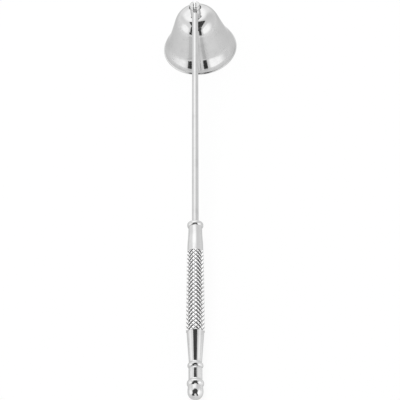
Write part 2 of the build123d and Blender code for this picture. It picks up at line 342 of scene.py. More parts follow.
def coved_sleeve(inner, radius, start, end, cove, rise, drop_length, drop, edge, steps=8):
    """The section of a bored sleeve that falls off gently at its start and rises in a small cove at its end."""
    flare = radius + rise
    return [
        line_run((inner + edge, start), (radius - drop, start), 2),
        bezier_run(
            ((radius - drop, start), (radius, start + drop_length / 2), (radius, start + drop_length)), steps
        ),
        line_run((radius, start + drop_length), (radius, end - cove), 2),
        bezier_run(((radius, end - cove), (radius, end - 0.8 * cove), (flare, end)), steps),
        line_run((flare, end), (inner + edge, end), 2),
        line_run((inner + edge, end), (inner, end - edge)),
        line_run((inner, end - edge), (inner, start + edge), 2),
        line_run((inner, start + edge), (inner + edge, start)),
    ]


def turned_mesh(name, runs, segments):
    """A mesh turned from the runs of a closed section, or of one that starts and ends on the axis."""
    section = []
    spans = []
    for run in runs:
        for (point, normal), (after, after_normal) in zip(run, run[1:]):
            if not section:
                section.append(point)
            spans.append((len(section) - 1, len(section), normal, after_normal))
            section.append(after)
    closed = (section[-1] - section[0]).length < 1e-9
    if closed:
        section.pop()
    tiny = 1e-9
    vertices = []
    rings = []
    for point in section:
        if point.x < tiny:
            rings.append([len(vertices)] * segments)
            vertices.append((0, 0, point.y))
            continue
        rings.append(list(range(len(vertices), len(vertices) + segments)))
        for segment in range(segments):
            turn = 2 * math.pi * segment / segments
            vertices.append((point.x * math.cos(turn), point.x * math.sin(turn), point.y))
    faces = []
    normals = []
    for low, high, low_normal, high_normal in spans:
        lower = rings[low]
        upper = rings[high % len(section)]
        for segment in range(segments):
            after = (segment + 1) % segments
            corners = [
                (lower[segment], low_normal, segment),
                (lower[after], low_normal, segment + 1),
                (upper[after], high_normal, segment + 1),
                (upper[segment], high_normal, segment),
            ]
            kept = []
            for corner in corners:
                if corner[0] not in [known[0] for known in kept]:
                    kept.append(corner)
            faces.append([corner[0] for corner in kept])
            for corner in kept:
                turn = 2 * math.pi * corner[2] / segments
                outward = corner[1].x
                normals.append((outward * math.cos(turn), outward * math.sin(turn), corner[1].y))
    mesh = bpy.data.meshes.new(name)
    mesh.from_pydata(vertices, [], faces)
    mesh.polygons.foreach_set("use_smooth", [True] * len(faces))
    mesh.normals_split_custom_set(normals)
    mesh.validate()
    mesh.update()
    return mesh


def put_piece(name, mesh, matrix, material, body, node):
    """Show a mesh in the place of a CAD node, on the body that the node rides on."""
    if not mesh.polygons:
        raise RuntimeError(f"{name} came out with no faces")
    mesh.materials.append(material)
    mesh.transform(matrix)
    mesh.update()
    piece = bpy.data.objects.new(name, mesh)
    bpy.context.scene.collection.objects.link(piece)
    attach(piece, body)
    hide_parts(node)
    return piece


def rod_frame():
    """Local Z runs along the rod from the pivot, and local Y points up."""
    side = Vector((1, 0, 0))
    turned = Matrix((side, rod_up, rod_direction)).transposed().to_4x4()
    return Matrix.Translation(pivot) @ turned


# Shader nodes and metals

def add_node(tree, kind, settings=None, inputs=None):
    """A node with its settings and inputs, where an input is a value or the socket that feeds it."""
    node = tree.nodes.new(kind)
    for name, value in (settings or {}).items():
        setattr(node, name, value)
    for name, value in (inputs or {}).items():
        if isinstance(value, bpy.types.NodeSocket):
            tree.links.new(value, node.inputs[name])
        else:
            node.inputs[name].default_value = value
    return node


def maths(tree, operation, first, second=0.0, third=0.0, clamp=False):
    """The result of a sum or a comparison."""
    settings = {"operation": operation, "use_clamp": clamp}
    return add_node(tree, "ShaderNodeMath", settings, {0: first, 1: second, 2: third}).outputs["Value"]


def vector_maths(tree, operation, first, second, output="Value"):
    """The result of a sum with two vectors."""
    return add_node(tree, "ShaderNodeVectorMath", {"operation": operation}, {0: first, 1: second}).outputs[output]


def ramp(tree, value, low, high, first, last, smooth=False):
    """A number that goes from first to last while a value goes from low to high."""
    settings = {"interpolation_type": "SMOOTHSTEP" if smooth else "LINEAR"}
    inputs = {"Value": value, "From Min": low, "From Max": high, "To Min": first, "To Max": last}
    return add_node(tree, "ShaderNodeMapRange", settings, inputs).outputs["Result"]


def within(tree, value, limit, band):
    """A mask that is 1 below a limit and fades to 0 over a narrow band."""
    return ramp(tree, value, limit, limit + band, 1.0, 0.0)


def blend(tree, share, first, last):
    """A number that goes from first to last with a share."""
    return add_node(tree, "ShaderNodeMix", {"data_type": "FLOAT"}, {0: share, 2: first, 3: last}).outputs[0]


def blend_colour(tree, share, first, last):
    """A colour that goes from first to last with a share."""
    return add_node(tree, "ShaderNodeMix", {"data_type": "RGBA"}, {0: share, 6: first, 7: last}).outputs[2]


def mix_shaders(tree, share, first, last):
    """A shader that goes from first to last with a share."""
    return add_node(tree, "ShaderNodeMixShader", None, {0: share, 1: first, 2: last}).outputs["Shader"]


def clouds(tree, vector, scale, detail, roughness=0.5):
    """Soft noise between 0 and 1."""
    inputs = {"Vector": vector, "Scale": scale, "Detail": detail, "Roughness": roughness}
    return add_node(tree, "ShaderNodeTexNoise", None, inputs).outputs["Fac"]


def split(tree, vector):
    """The X, Y and Z of a vector."""
    return add_node(tree, "ShaderNodeSeparateXYZ", None, {"Vector": vector}).outputs


def spot(tree, output="Object"):
    """The place of a point in its object's axes, or the way that it faces."""
    return add_node(tree, "ShaderNodeTexCoord").outputs[output]


def new_material(name):
    """An empty material and its node tree."""
    material = bpy.data.materials.new(name)
    material.use_nodes = True
    material.node_tree.nodes.clear()
    return material, material.node_tree


def show(tree, shader, kind="ShaderNodeOutputMaterial"):
    """Lead a shader to the surface."""
    tree.links.new(shader, add_node(tree, kind).inputs["Surface"])


def polish_haze(group, given):
    """Roughness that drifts between clean and finger-dulled plating."""
    drift = clouds(group, given["Vector"], given["Scale"], 4.0, 0.6)
    return ramp(group, drift, 0.35, 0.7, given["Clean"], given["Dull"], True)


def turning_lines(group, given):
    """Height of the fine lines that turning and polishing leave round an axis, local Z."""
    axes = {"X": given["Around"], "Y": given["Around"], "Z": given["Along"]}
    stretch = add_node(group, "ShaderNodeCombineXYZ", None, axes).outputs["Vector"]
    return clouds(group, vector_maths(group, "MULTIPLY", given["Vector"], stretch, "Vector"), 1.0, 3.0)


def hairlines(group, given):
    """A mask of sparse hairline scratches."""
    lay = {"Vector": given["Vector"], "Rotation": (0.5, 0.3, 0.9), "Scale": (1.0, 0.16, 0.5)}
    turned = add_node(group, "ShaderNodeMapping", None, lay).outputs["Vector"]
    field = clouds(group, turned, given["Scale"], 1.0)
    distance = maths(group, "ABSOLUTE", maths(group, "SUBTRACT", field, 0.5))
    thin = ramp(group, distance, 0.0, given["Width"], 1.0, 0.0)
    sparse = ramp(group, clouds(group, given["Vector"], given["Scale"], 2.0), 0.52, 0.62, 0.0, 1.0)
    return maths(group, "MULTIPLY", thin, sparse)


def metal_tone(group, given):
    """Colour that drifts between clean and slightly dull metal."""
    drift = clouds(group, given["Vector"], given["Scale"], 5.0, 0.65)
    share = ramp(group, drift, 0.45, 0.75, 0.0, 1.0, True)
    return blend_colour(group, share, given["Clean"], given["Dull"])


NUMBER = "NodeSocketFloat"
COLOUR = "NodeSocketColor"
EFFECTS = {
    "polish_haze": (polish_haze, {"Scale": NUMBER, "Clean": NUMBER, "Dull": NUMBER}, "Roughness", NUMBER),
    "turning_lines": (turning_lines, {"Around": NUMBER, "Along": NUMBER}, "Height", NUMBER),
    "hairline_scratches": (hairlines, {"Scale": NUMBER, "Width": NUMBER}, "Mask", NUMBER),
    "metal_tone": (metal_tone, {"Scale": NUMBER, "Clean": COLOUR, "Dull": COLOUR}, "Color", COLOUR),
}


def effect(tree, name, vector, **values):
    """The output of one of the shared node groups, which is made when it is first used."""
    build, sockets, output, kind = EFFECTS[name]
    group = bpy.data.node_groups.get(name)
    if group is None:
        group = bpy.data.node_groups.new(name, "ShaderNodeTree")
        for label, socket in {"Vector": "NodeSocketVector", **sockets}.items():
            group.interface.new_socket(label, in_out="INPUT", socket_type=socket)
        group.interface.new_socket(output, in_out="OUTPUT", socket_type=kind)
        given = group.nodes.new("NodeGroupInput").outputs
        outlet = group.nodes.new("NodeGroupOutput")
        group.links.new(build(group, given), outlet.inputs[output])
    inputs = {"Vector": vector, **values}
    return add_node(tree, "ShaderNodeGroup", {"node_tree": group}, inputs).outputs[output]


def knurl_measure(tree):
    """The measure on the grip's mesh, which goes from -1 on a knurl's tip to 1 at the bottom of a groove."""
    return add_node(tree, "ShaderNodeAttribute", {"attribute_name": "knurl"}).outputs["Fac"]


def groove_shade_mask(tree):
    """The bottom of the knurl's grooves, where shade is painted."""
    return maths(tree, "MULTIPLY", knurl_measure(tree), 1.0, clamp=True)


def ridge_highlight_mask(tree):
    """The tips of the knurl, where a highlight is painted."""
    return maths(tree, "MULTIPLY", knurl_measure(tree), -1.0, clamp=True)


def between_ears(tree, axes):
    """What lies between the post's ears."""
    return within(tree, maths(tree, "ABSOLUTE", axes["X"]), SLOT_HALF_WIDTH + SLOT_EDGE, SLOT_EDGE)


def in_front(tree, axes):
    """The part of the hinge in front of the pivot, where the slot and the tongue's sides get no painted shade and the
    slot's walls get painted light.
    """
    return within(tree, axes["Y"], pivot.y - UNSHADED_FRONT, MASK_EDGE)


def slot_shade_mask(tree):
    """The painted shade inside the post's slot, above its floor and behind its front part."""
    axes = split(tree, spot(tree))
    low = within(tree, axes["Z"], pivot.z - SLOT_DEPTH - FLOOR_EDGE, FLOOR_EDGE)
    outside = maths(tree, "MAXIMUM", low, in_front(tree, axes))
    return maths(tree, "SUBTRACT", between_ears(tree, axes), outside, clamp=True)


def slot_front_light_mask(tree):
    """The front of the post's slot, whose walls get painted light."""
    axes = split(tree, spot(tree))
    return maths(tree, "MULTIPLY", between_ears(tree, axes), in_front(tree, axes))


def side_highlight_mask(tree):
    """The post's turned side, which stands upright at rest and gets a painted highlight."""
    slope = maths(tree, "ABSOLUTE", split(tree, spot(tree, "Normal"))["Z"])
    return within(tree, slope, SIDE_SLOPE, 2 * SIDE_SLOPE)


def head_mask(tree):
    """The rivet's heads, outside the post's ears."""
    return maths(tree, "GREATER_THAN", maths(tree, "ABSOLUTE", split(tree, spot(tree))["X"]), HEAD_START)


def filed_light_mask(tree):
    """The whole tongue, which is filed and not polished, and gets a lighter tone that is painted light."""
    return within(tree, vector_maths(tree, "DISTANCE", spot(tree), pivot), TONGUE_REACH, MASK_EDGE)


def tongue_shade_mask(tree):
    """Painted shade on the flat sides of the rod's tongue, from the pivot to its tail, and lighter painted shade on
    its front slope.
    """
    facing = maths(tree, "ABSOLUTE", split(tree, spot(tree, "Normal"))["X"])
    sideways = maths(tree, "GREATER_THAN", facing, FLAT_FACING)
    axes = split(tree, spot(tree))
    hidden = maths(tree, "SUBTRACT", sideways, in_front(tree, axes), clamp=True)
    slope = within(tree, axes["Y"], pivot.y - SLOPE_START, MASK_EDGE)
    marked = maths(tree, "MAXIMUM", hidden, maths(tree, "MULTIPLY", slope, SLOPE_SHADE))
    return maths(tree, "MULTIPLY", marked, filed_light_mask(tree))


def metal(name, tones, lines, turn=(0, 0, 0), filed=None, bright=None, dark=None, matte=False):
    """A polished metal with turning lines round its local Z axis, hazy patches and hairlines.

    tones are its clean and dull colours and roughnesses, and lines the turning lines' scales and height. turn
    lays a leaning axis on Z. filed picks out a part that is not polished and gets a lighter tone, painted light.
    bright and dark are the colours of the parts that their masks pick out: bright a painted highlight, dark painted
    shade, except on the rivet's heads, which are darker steel. The dark part is dull as well where matte is set.
    """
    clean, dull, polish, haze = tones
    around, along, relief = lines
    material, tree = new_material(name)
    vector = add_node(tree, "ShaderNodeMapping", None, {"Vector": spot(tree), "Rotation": turn}).outputs["Vector"]
    shade = effect(tree, "metal_tone", vector, Scale=160.0, Clean=(*clean, 1), Dull=(*dull, 1))
    blur = effect(tree, "polish_haze", vector, Scale=210.0, Clean=polish, Dull=haze)
    fine = effect(tree, "turning_lines", vector, Around=around, Along=along)
    hairs = effect(tree, "hairline_scratches", vector, Scale=420.0, Width=0.006)
    roughness = maths(tree, "MULTIPLY_ADD", hairs, HAIR_ROUGHNESS, blur)
    height = maths(tree, "MULTIPLY_ADD", hairs, -HAIR_DEPTH, fine)
    bump = add_node(tree, "ShaderNodeBump", None, {"Strength": 1.0, "Distance": relief, "Height": height})
    metallic = 1.0
    # Filed parts are satin, with a lighter tone that is painted light.
    if filed:
        rubbed = filed(tree)
        roughness = blend(tree, rubbed, roughness, FILED_ROUGHNESS)
        metallic = blend(tree, rubbed, metallic, FILED_METALLIC)
        shade = blend_colour(tree, rubbed, shade, (*FILED_LIGHT_TONE, 1))
    # Painted highlight on the knurl's tips and the post's upright side.
    if bright:
        tint, mask = bright
        shade = blend_colour(tree, mask(tree), shade, (*tint, 1))
    # Painted shade in the knurl's grooves, the hinge's slot and on the tongue; on the rivet it is the heads' darker
    # steel.
    if dark:
        tint, mask = dark
        share = mask(tree)
        shade = blend_colour(tree, share, shade, (*tint, 1))
        if matte:
            roughness = blend(tree, share, roughness, DULL_ROUGHNESS)
            metallic = blend(tree, share, metallic, 0.0)
    inputs = {
        "Base Color": shade,
        "Metallic": metallic,
        "Roughness": roughness,
        "Specular Tint": (*bpy.context.scene.snuffer_finish.edge_tint, 1),
        "Normal": bump.outputs["Normal"],
    }
    show(tree, add_node(tree, "ShaderNodeBsdfPrincipled", None, inputs).outputs["BSDF"])
    return material


def finish(name):
    """One of the snuffer's metals by name, which is made when it is first used."""
    if name in bpy.data.materials:
        return bpy.data.materials[name]
    look = bpy.context.scene.snuffer_finish
    lean = (math.radians(90) - math.asin(-rod_direction.z), 0, 0)
    plate = (look.chrome, look.chrome_shade, look.polish, look.haze)
    handle = (look.handle_chrome, look.handle_shade, look.polish, look.haze)
    post = (look.post, look.post_shade, look.polish, look.haze)
    steel = (look.steel, look.steel_shade, look.steel_polish, look.steel_haze)
    shank = (look.shank, look.shank, look.steel_polish, look.steel_haze)
    turned = (90, 7000, 1.0e-6)
    coarse = (900, 3000, 2.5e-6)
    # Painted highlight on the knurl's tips and painted shade in its grooves.
    knurl = {"bright": (look.ridge_highlight, ridge_highlight_mask), "dark": (look.groove, groove_shade_mask)}
    # Painted shade on the tongue's hidden sides and front slope, and a painted lighter tone on the whole tongue.
    tongue = {"filed": filed_light_mask, "dark": (look.slot, tongue_shade_mask), "matte": True}
    # Painted light on the slot's front walls, and painted shade deeper in the slot.
    slot = {"filed": slot_front_light_mask, "dark": (look.slot, slot_shade_mask), "matte": True}
    metals = {
        "spun_chrome": (plate, (60, 5200, 1.2e-6), {}),
        "turned_chrome": (handle, turned, {"turn": lean}),
        "knurled_chrome": (handle, turned, {"turn": lean, **knurl}),
        "drawn_chrome": (plate, (120, 6000, 0.8e-6), {"turn": lean, **tongue}),
        # The post's upright turned side gets a painted highlight.
        "post_chrome": (post, (200, 6000, 1.0e-6), {"bright": (look.post_side_highlight, side_highlight_mask), **slot}),
        "plain_steel": (steel, coarse, {}),
        "rivet_steel": (shank, coarse, {"dark": (look.steel_shade, head_mask)}),
    }
    tones, lines, parts = metals[name]
    return metal(name, tones, lines, **parts)


# Pieces

def bell_corners(sizes, depth):
    """The corner points of the bell's wall, at a depth under its outer face."""
    def inward(lean):
        return Vector((-depth * math.cos(lean), -depth * math.sin(lean)))

    rim = Vector((sizes.mouth_radius - sizes.lip_proud, 0)) + inward(sizes.rim_lean)
    skirt = Vector((sizes.skirt_radius, sizes.skirt_height)) + inward((sizes.skirt_lean + sizes.bend_lean) / 2)
    steep, flared = math.tan(sizes.rim_lean), math.tan(sizes.skirt_lean)
    rise = (skirt.x + skirt.y * flared - rim.x - rim.y * steep) / (flared - steep)
    flare = Vector((rim.x - (rise - rim.y) * steep, rise))
    waist = Vector((sizes.waist_radius, sizes.waist_height)) + inward(sizes.waist_lean)
    crown = Vector((sizes.crown_radius, sizes.height - depth))
    return rim, flare, skirt, waist, crown


def bell_curves(sizes, depth):
    """The Bezier curves of the bell's wall from its rim to its crown, at a depth under its outer face."""
    def leaning(reach, lean):
        return Vector((-reach * math.sin(lean), reach * math.cos(lean)))

    rim, flare, skirt, waist, crown = bell_corners(sizes, depth)
    reach = sizes.bend_reach
    flare_low, flare_high = flare - leaning(reach, sizes.rim_lean), flare + leaning(reach, sizes.skirt_lean)
    bend_low, bend_high = skirt - leaning(reach, sizes.skirt_lean), skirt + leaning(reach, sizes.bend_lean)
    upper = sizes.skirt_pull * (waist - bend_high).length
    bend_pull, waist_pull = leaning(upper, sizes.bend_lean), leaning(upper, sizes.waist_lean)
    rise = leaning(sizes.dome_rise * (crown.y - waist.y), sizes.waist_lean)
    run = Vector((sizes.dome_crown * (waist.x - crown.x), 0))
    return (
        (rim, flare_low),
        (flare_low, flare, flare_high),
        (flare_high, bend_low),
        (bend_low, skirt, bend_high),
        (bend_high, bend_high + bend_pull, waist - waist_pull, waist),
        (waist, waist + rise, crown + run, crown),
    )


def share_at_height(curve, height):
    """The share of a rising Bezier curve at which it reaches a height."""
    low, high = 0.0, 1.0
    for _ in range(50):
        middle = (low + high) / 2
        if bezier_point(curve, middle).y < height:
            low = middle
        else:
            high = middle
    return (low + high) / 2


class SNUFFER_OT_bell(bpy.types.Operator):
    """Spin the bell: rolled lip, flared skirt, waist, dome and the hollow inside"""

    bl_idname = "snuffer.bell"
    bl_label = "Bell"

    def execute(self, context):
        sizes = context.scene.snuffer_bell
        outer = bell_curves(sizes, 0)
        inner = bell_curves(sizes, sizes.wall)
        roll = sizes.lip_height / 2
        lip_middle = Vector((sizes.mouth_radius - roll, roll))
        lip_end = 75
        lip_top = lip_middle + roll * Vector((math.cos(math.radians(lip_end)), math.sin(math.radians(lip_end))))
        wall_start = share_at_height(outer[0], lip_top.y + 0.06 * MM)
        wall_foot = bezier_point(outer[0], wall_start)
        mouth_share = share_at_height(inner[0], 0.12 * MM)
        mouth_edge = bezier_point(inner[0], mouth_share)
        mouth_flat = Vector((mouth_edge.x + 0.12 * MM, 0))
        crown, crown_inside = outer[-1][-1], inner[-1][-1]
        steps = (6, 12, 6, 12, 24, 40)
        hole = sizes.hole_radius
        runs = [
            line_run(mouth_flat, (lip_middle.x, 0), 2),
            arc_run(lip_middle, roll, -90, lip_end, 16),
            line_run(lip_top, wall_foot),
            bezier_run(outer[0], steps[0], wall_start, 1),
            *[bezier_run(curve, count) for curve, count in zip(outer[1:], steps[1:])],
            line_run(crown, (hole, crown.y), 2),
            line_run((hole, crown.y), (hole, crown_inside.y), 2),
            line_run((hole, crown_inside.y), crown_inside, 2),
            *[bezier_run(curve, count, 1, 0) for curve, count in zip(inner[:0:-1], steps[:0:-1])],
            bezier_run(inner[0], steps[0], 1, mouth_share),
            line_run(mouth_edge, mouth_flat),
        ]
        mesh = turned_mesh("bell_spun", runs, sizes.segments)
        matrix = Matrix.Translation(bell_foot)
        put_piece("bell_spun", mesh, matrix, finish("spun_chrome"), "bell", "bell")
        return {"FINISHED"}


class SNUFFER_OT_hinge(bpy.types.Operator):
    """Finish the clevis post, the rivet, the washer and the nut, whose CAD shapes stay"""

    bl_idname = "snuffer.hinge"
    bl_label = "Post, rivet, washer and nut"

    def execute(self, context):
        finishes = {
            "bell_post": finish("post_chrome"),
            "pivot_rivet": finish("rivet_steel"),
            "bell_washer": finish("plain_steel"),
            "bell_nut": finish("plain_steel"),
        }
        for node, material in finishes.items():
            mesh = frame["nodes"][node].data
            mesh.materials.clear()
            mesh.materials.append(material)
        return {"FINISHED"}


class SNUFFER_OT_rod(bpy.types.Operator):
    """Finish the rod, whose CAD shape stays"""

    bl_idname = "snuffer.rod"
    bl_label = "Rod"

    def execute(self, context):
        mesh = frame["nodes"]["rod"].data
        mesh.materials.clear()
        mesh.materials.append(finish("drawn_chrome"))
        return {"FINISHED"}


def handle_places(sizes):
    """Where each turned piece of the handle starts, as distances from the pivot along the rod."""
    places = {"ferrule": sizes.rod_length}
    places["grip"] = places["ferrule"] + sizes.ferrule_length
    places["knurl"] = places["grip"] + sizes.neck_length
    places["taper"] = places["knurl"] + sizes.knurl_rows * sizes.knurl_pitch
    places["ring"] = places["taper"] + sizes.taper_length
    places["sleeve"] = places["ring"] + sizes.ring_length
    places["bead"] = places["sleeve"] + sizes.sleeve_length
    places["knob"] = places["bead"] + sizes.bead_length
    places["ball"] = places["knob"] + sizes.collar_length
    return places


class SNUFFER_OT_beads(bpy.types.Operator):
    """Turn the ferrule, the ring, the sleeve and the bead"""

    bl_idname = "snuffer.beads"
    bl_label = "Ferrule, ring, sleeve and bead"

    def execute(self, context):
        sizes = context.scene.snuffer_handle
        places = handle_places(sizes)
        bore, edge = sizes.bore, sizes.edge
        open_foot = sizes.ferrule_radius - sizes.ferrule_round
        taper_foot = sizes.taper_end_radius + sizes.cove_rise
        sleeve_foot = sizes.sleeve_radius + sizes.cove_rise
        ferrule = (sizes.ferrule_radius, places["ferrule"], places["grip"], sizes.ferrule_round)
        ring = (sizes.ring_radius, places["ring"], places["sleeve"], sizes.ring_round)
        bead = (sizes.bead_radius, places["bead"], places["knob"], sizes.bead_round)
        rings = (
            ("ferrule", "ferrule_turned", bore, ferrule, open_foot, sizes.neck_radius),
            ("grip_ring", "ring_turned", bore, ring, taper_foot, sizes.sleeve_radius - sizes.drop),
            ("end_bead", "bead_turned", sizes.tail_bore, bead, sleeve_foot, sizes.collar_radius),
        )
        for node, name, inner, (outer, start, end, rounding), first_foot, last_foot in rings:
            runs = rounded_ring(inner, outer, start, end, rounding, edge, first_foot, last_foot)
            self.turn_piece(name, runs, sizes, node)
        runs = coved_sleeve(
            sizes.bore,
            sizes.sleeve_radius,
            places["sleeve"],
            places["bead"],
            sizes.cove_length,
            sizes.cove_rise,
            sizes.drop_length,
            sizes.drop,
            sizes.edge,
        )
        self.turn_piece("sleeve_turned", runs, sizes, "waist_sleeve")
        return {"FINISHED"}

    def turn_piece(self, name, runs, sizes, node):
        mesh = turned_mesh(name, runs, sizes.segments)
        put_piece(name, mesh, rod_frame(), finish("turned_chrome"), "handle", node)


class SNUFFER_OT_knob(bpy.types.Operator):
    """Turn the end knob: a ball on a swelling collar, with the blind hole for the rod's tail"""

    bl_idname = "snuffer.knob"
    bl_label = "End knob"

    def execute(self, context):
        sizes = context.scene.snuffer_handle
        places = handle_places(sizes)
        start, ball = places["knob"], places["ball"]
        radius, hole, edge = sizes.knob_radius, sizes.tail_bore, sizes.edge
        hole_end = start + sizes.tail_depth
        swell = (
            (sizes.collar_radius, start),
            (radius, ball - sizes.collar_length / 2),
            (radius, ball),
        )
        runs = [
            line_run((0, hole_end), (hole, hole_end)),
            line_run((hole, hole_end), (hole, start + edge), 2),
            line_run((hole, start + edge), (hole + edge, start)),
            line_run((hole + edge, start), (sizes.collar_radius, start), 2),
            bezier_run(swell, 16),
            arc_run((0, ball), radius, 0, 90, 32),
        ]
        mesh = turned_mesh("knob_turned", runs, sizes.segments)
        put_piece("knob_turned", mesh, rod_frame(), finish("turned_chrome"), "handle", "end_knob")
        return {"FINISHED"}


def diamond_height(column, row, flat):
    """Height of the knurl from 0 in a groove to 1 on a diamond's tip. Tips lie where column plus row is even."""
    first = (column + row) / 2
    second = (column - row) / 2
    off = max(abs(first - round(first)), abs(second - round(second)))
    return min(1.0, (1 - 2 * off) / (1 - flat))


class SNUFFER_OT_grip(bpy.types.Operator):
    """Turn the grip: smooth neck, diamond knurl and taper, bored for the rod"""

    bl_idname = "snuffer.grip"
    bl_label = "Grip"

    fineness = 6
    neck_steps = 24
    taper_steps = 12
    cove_steps = 8

    def execute(self, context):
        sizes = context.scene.snuffer_handle
        places = handle_places(sizes)
        columns = 2 * sizes.knurl_starts * self.fineness
        rows = 2 * sizes.knurl_rows * self.fineness
        edge = sizes.edge
        ease = sizes.neck_ease * sizes.neck_length
        neck = [
            (sizes.neck_radius, places["grip"]),
            (sizes.neck_radius, places["grip"] + ease),
            (sizes.neck_top_radius, places["knurl"] - ease),
            (sizes.neck_top_radius, places["knurl"]),
        ]
        rings = [(sizes.bore, places["grip"] + edge), (sizes.bore + edge, places["grip"])]
        rings += [tuple(point) for point, _ in bezier_run(neck, self.neck_steps)]
        knurl_first = len(rings)
        rings += [None] * (rows + 1)
        cove = places["ring"] - sizes.cove_length
        flare = sizes.taper_end_radius + sizes.cove_rise
        for step in range(self.taper_steps):
            share = step / self.taper_steps
            radius = sizes.taper_radius + (sizes.taper_end_radius - sizes.taper_radius) * share
            rings.append((radius, places["taper"] + (cove - places["taper"]) * share))
        rise = [
            (sizes.taper_end_radius, cove),
            (sizes.taper_end_radius, cove + 0.2 * sizes.cove_length),
            (flare, places["ring"]),
        ]
        rings += [tuple(point) for point, _ in bezier_run(rise, self.cove_steps)]
        rings.append((sizes.bore + edge, places["ring"]))
        rings.append((sizes.bore, places["ring"] - edge))
        vertices = []
        grooves = []
        for index, ring in enumerate(rings):
            row = index - knurl_first
            for column in range(columns):
                turn = 2 * math.pi * column / columns
                if ring is None:
                    radius, along, groove = self.knurl_point(sizes, places, column / self.fineness, row, rows)
                else:
                    radius, along = ring
                    groove = 0.0
                vertices.append((radius * math.cos(turn), radius * math.sin(turn), along))
                grooves.append(groove)
        faces = []
        for index in range(len(rings)):
            lower = index * columns
            upper = (index + 1) % len(rings) * columns
            for column in range(columns):
                after = (column + 1) % columns
                faces.append((lower + column, lower + after, upper + after, upper + column))
        mesh = bpy.data.meshes.new("grip_knurled")
        mesh.from_pydata(vertices, [], faces)
        mesh.polygons.foreach_set("use_smooth", [True] * len(faces))
        mesh.set_sharp_from_angle(angle=math.radians(24))
        measure = mesh.attributes.new("knurl", "FLOAT", "POINT")
        measure.data.foreach_set("value", grooves)
        mesh.validate()
        mesh.update()
        put_piece("grip_knurled", mesh, rod_frame(), finish("knurled_chrome"), "handle", "grip")
        return {"FINISHED"}

    def knurl_point(self, sizes, places, column, row, rows):
        """Radius, place along the rod and measure of one point of the knurl, from -1 on a tip to 1 in a groove."""
        share = row / rows
        tips = sizes.knurl_start_radius + (sizes.knurl_end_radius - sizes.knurl_start_radius) * share
        tips += 4 * sizes.knurl_swell * share * (1 - share)
        height = diamond_height(column + 0.5, (row + 1) / self.fineness, sizes.knurl_flat)
        radius = tips - sizes.knurl_depth * (1 - height)
        along = places["knurl"] + share * (places["taper"] - places["knurl"])
        return radius, along, 1 - 2 * height


# Stage

def bearing(azimuth, elevation):
    """A direction from the snuffer: azimuth from straight in front, to the right, and elevation above the floor."""
    turn, rise = math.radians(azimuth), math.radians(elevation)
    return Vector((math.sin(turn) * math.cos(rise), -math.cos(turn) * math.cos(rise), math.sin(rise)))


def arc_bearing(rise, aside):
    """A direction counted in degrees along the arc from the front over the top to the back, and to the right."""
    up, side = math.radians(rise), math.radians(aside)
    return Vector((math.sin(side), -math.cos(up) * math.cos(side), math.sin(up) * math.cos(side)))


def soft_edge(tree, side, rise, softness, power):
    """A mask that is 1 inside a rounded patch, from the distances across and up as shares of its half sizes.

    A power of 2 gives an oval, and a larger one a rectangle with rounder or tighter corners.
    """
    raised = [maths(tree, "POWER", maths(tree, "ABSOLUTE", reach), power) for reach in (side, rise)]
    out = maths(tree, "POWER", maths(tree, "ADD", *raised), 1 / power)
    return ramp(tree, out, 1 - softness, 1 + softness, 1.0, 0.0, True)


def patch_mask(tree, ray, middle, half_width, half_height, softness, power):
    """A soft-edged mask over a patch of the tent, with half sizes in degrees."""
    across = middle.cross(Vector((0, 0, 1))).normalized()
    upward = across.cross(middle).normalized()
    across /= math.sin(math.radians(half_width))
    upward /= math.sin(math.radians(half_height))
    side, rise, facing = [vector_maths(tree, "DOT_PRODUCT", ray, way) for way in (across, upward, middle)]
    edge = soft_edge(tree, side, rise, softness, power)
    return maths(tree, "MULTIPLY", edge, maths(tree, "GREATER_THAN", facing, 0.0))


def put_sheet(name, corners, material):
    """Show a flat sheet of the stage."""
    mesh = bpy.data.meshes.new(name)
    mesh.from_pydata(corners, [], [(0, 1, 2, 3)])
    mesh.materials.append(material)
    sheet = bpy.data.objects.new(name, mesh)
    bpy.context.scene.collection.objects.link(sheet)
    return sheet


